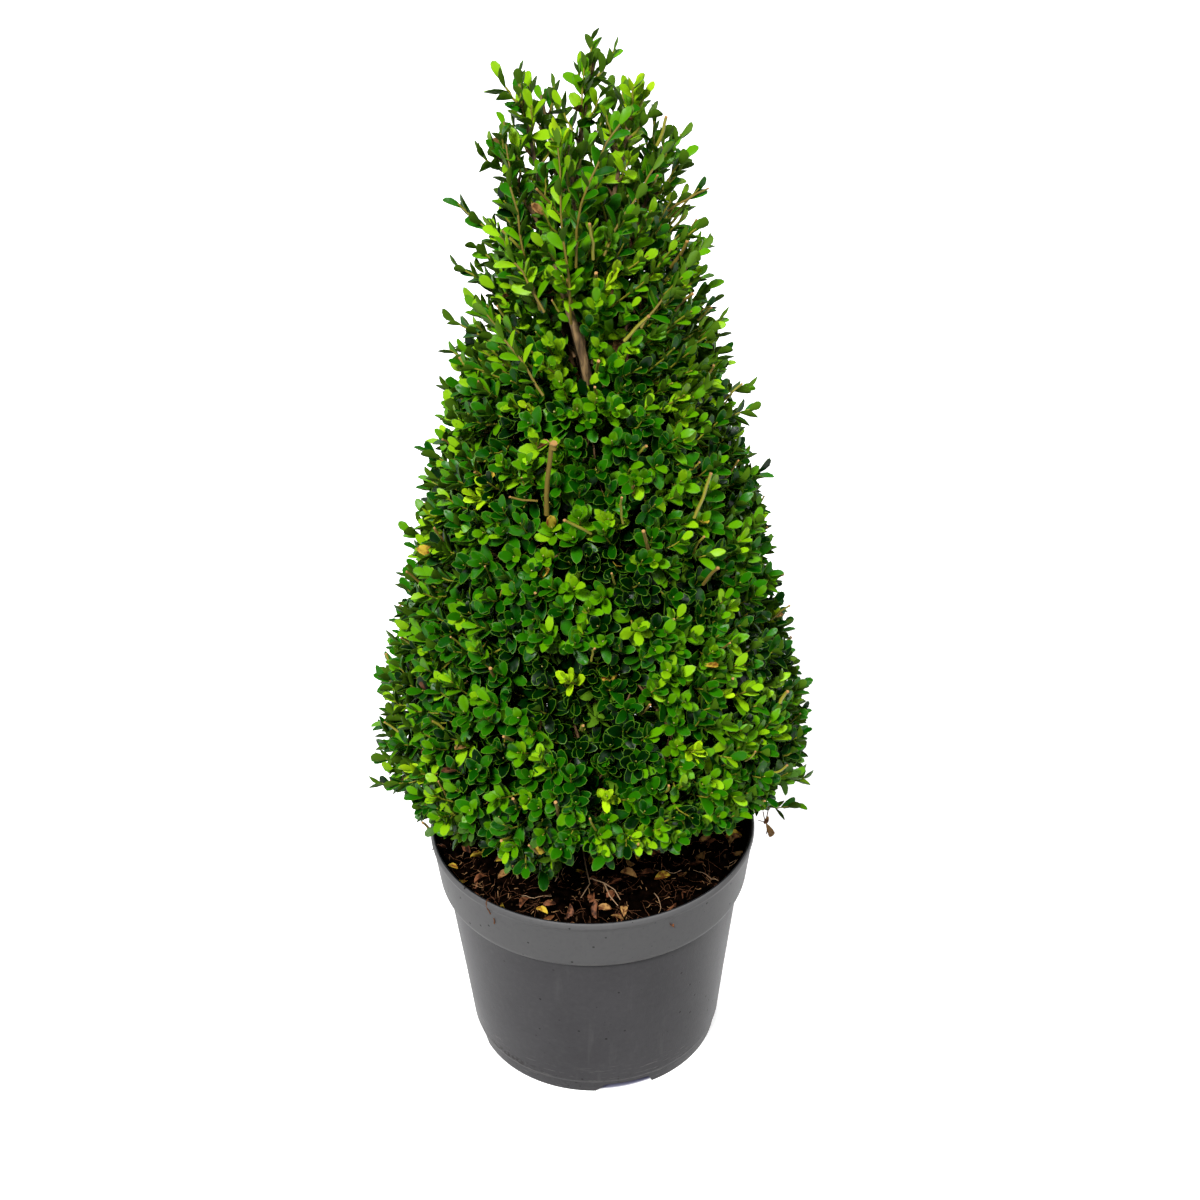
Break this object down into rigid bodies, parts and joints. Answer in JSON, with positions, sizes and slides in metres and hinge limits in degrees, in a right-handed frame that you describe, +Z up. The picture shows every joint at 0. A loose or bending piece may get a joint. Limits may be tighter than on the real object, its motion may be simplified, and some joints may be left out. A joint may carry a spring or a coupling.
{
  "type": "potted cone topiary",
  "caption": "Small-leaved evergreen clipped to a cone, with a loose leafy tip, standing in a round tapered nursery pot filled with soil.",
  "frame": {"origin": "centre of the pot's foot, on the surface that the pot stands on", "axes": "+Z up along the pot's axis, towards the tip of the plant; the front of the plant faces -Y"},
  "size_m": [0.3416, 0.3399, 0.8247],
  "materials": {
    "pot": "satin",
    "soil": "rough",
    "bark": "rough",
    "foliage": "satin",
    "foliage_crown": "satin"
  },
  "bodies": {
    "root": {"foliage_crown_back_left": "foliage_crown", "foliage_crown_back_right": "foliage_crown", "foliage_crown_centre": "foliage_crown", "foliage_crown_far_left": "foliage_crown", "foliage_crown_far_right": "foliage_crown", "foliage_crown_front": "foliage_crown", "foliage_crown_left": "foliage_crown", "foliage_crown_right": "foliage_crown", "foliage_middle_1": "foliage", "foliage_middle_2": "foliage", "foliage_middle_3": "foliage", "foliage_middle_4": "foliage", "foliage_middle_5": "foliage", "foliage_shoulder_1": "foliage", "foliage_shoulder_2": "foliage", "foliage_shoulder_3": "foliage", "foliage_skirt_1": "foliage", "foliage_skirt_2": "foliage", "foliage_skirt_3": "foliage", "foliage_skirt_4": "foliage", "foliage_skirt_5": "foliage", "foliage_skirt_6": "foliage", "foliage_upper_1": "foliage", "foliage_upper_2": "foliage", "foliage_upper_3": "foliage", "foliage_upper_4": "foliage", "leader_back_left": "bark", "leader_back_right": "bark", "leader_centre": "bark", "leader_far_left": "bark", "leader_far_right": "bark", "leader_front": "bark", "leader_left": "bark", "leader_right": "bark", "pot": "pot", "soil": "soil", "trunk": "bark"}
  },
  "joints": []
}
